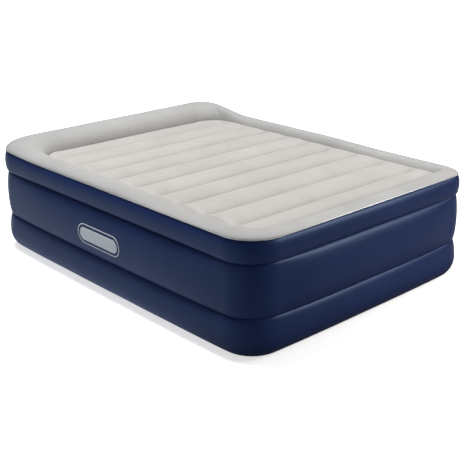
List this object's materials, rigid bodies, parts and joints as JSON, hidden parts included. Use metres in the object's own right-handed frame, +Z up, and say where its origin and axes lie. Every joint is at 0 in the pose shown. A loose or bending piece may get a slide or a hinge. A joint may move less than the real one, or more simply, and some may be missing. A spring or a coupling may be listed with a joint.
{
  "type": "air mattress",
  "caption": "Raised air bed with a flocked channelled top, headboard ridge, three-tier vinyl walls and a built-in electric pump.",
  "frame": {"origin": "middle of the underside, on the floor", "axes": "+Z up, +Y towards the headboard ridge, +X across the bed"},
  "size_m": [1.538, 2.048, 0.6023],
  "materials": {
    "flocked_top": "short flocked nap, light warm grey, matt",
    "seam_lip": "welded edge of the flocked sheet, satin light grey",
    "navy_wall": "smooth soft vinyl, satin navy",
    "base_sheet": "embossed soft vinyl, matt dark navy",
    "inner_sheet": "plain soft vinyl web",
    "face_plastic": "fine spark-eroded texture, charcoal navy",
    "knob_plastic": "satin mid grey",
    "rocker_plastic": "gloss black",
    "inner_plastic": "plain moulded black",
    "seal_rubber": "soft black",
    "steel": "zinc plated"
  },
  "bodies": {
    "mattress": {"air_grille": "face_plastic", "base_webs": "inner_sheet", "bottom_sheet": "base_sheet", "cord_gland": "seal_rubber", "cord_pocket": "inner_plastic", "face_gasket": "seal_rubber", "face_plate": "face_plastic", "face_screws": "steel", "fan_cover": "inner_plastic", "fan_housing": "inner_plastic", "flap_pin": "steel", "headboard_bolster": "flocked_top", "i_beams": "inner_sheet", "lid_hinge_pin": "steel", "lower_side_band": "navy_wall", "mid_membrane": "inner_sheet", "middle_side_band": "navy_wall", "motor_can": "steel", "motor_end_cap": "inner_plastic", "motor_mount_ring": "seal_rubber", "pump_bucket": "inner_plastic", "pump_wall_panel": "navy_wall", "rim_bolster": "flocked_top", "rim_web": "inner_sheet", "rocker_pin": "steel", "sleeping_panel": "flocked_top", "switch_body": "inner_plastic", "thermal_cutout": "steel", "top_seam_lip": "seam_lip", "upper_side_band": "navy_wall", "valve_chamber": "inner_plastic", "waist_belt": "inner_sheet"},
    "mode_dial": {"mode_knob": "knob_plastic", "knob_shaft": "inner_plastic", "valve_rotor": "inner_plastic"},
    "lid": {"cord_lid": "face_plastic"},
    "rocker": {"power_rocker": "rocker_plastic"},
    "fan_rotor": {"impeller": "inner_plastic", "motor_shaft": "steel", "armature": "steel"},
    "flap": {"check_flap": "seal_rubber"}
  },
  "joints": [
    {"name": "mode_knob_turn", "type": "hinge", "parent": "mattress", "child": "mode_dial", "pos_m": [0.278, 1.015, 0.331], "axis": [0, 1, 0], "range_deg": [-90, 90]},
    {"name": "cord_lid_swing", "type": "hinge", "parent": "mattress", "child": "lid", "pos_m": [0.378, 1.0196, 0.3442], "axis": [1, 0, 0], "range_deg": [0, 90]},
    {"name": "power_rocker_tilt", "type": "hinge", "parent": "mattress", "child": "rocker", "pos_m": [0.382, 1.016, 0.375], "axis": [0, 0, 1], "range_deg": [0, 14]},
    {"name": "fan_spin", "type": "hinge", "parent": "mattress", "child": "fan_rotor", "pos_m": [0.29, 0.944, 0.331], "axis": [0, 1, 0], "continuous": true},
    {"name": "check_flap_swing", "type": "hinge", "parent": "mattress", "child": "flap", "pos_m": [0.39, 0.8914, 0.3542], "axis": [-1, 0, 0], "range_deg": [0, 60]}
  ]
}
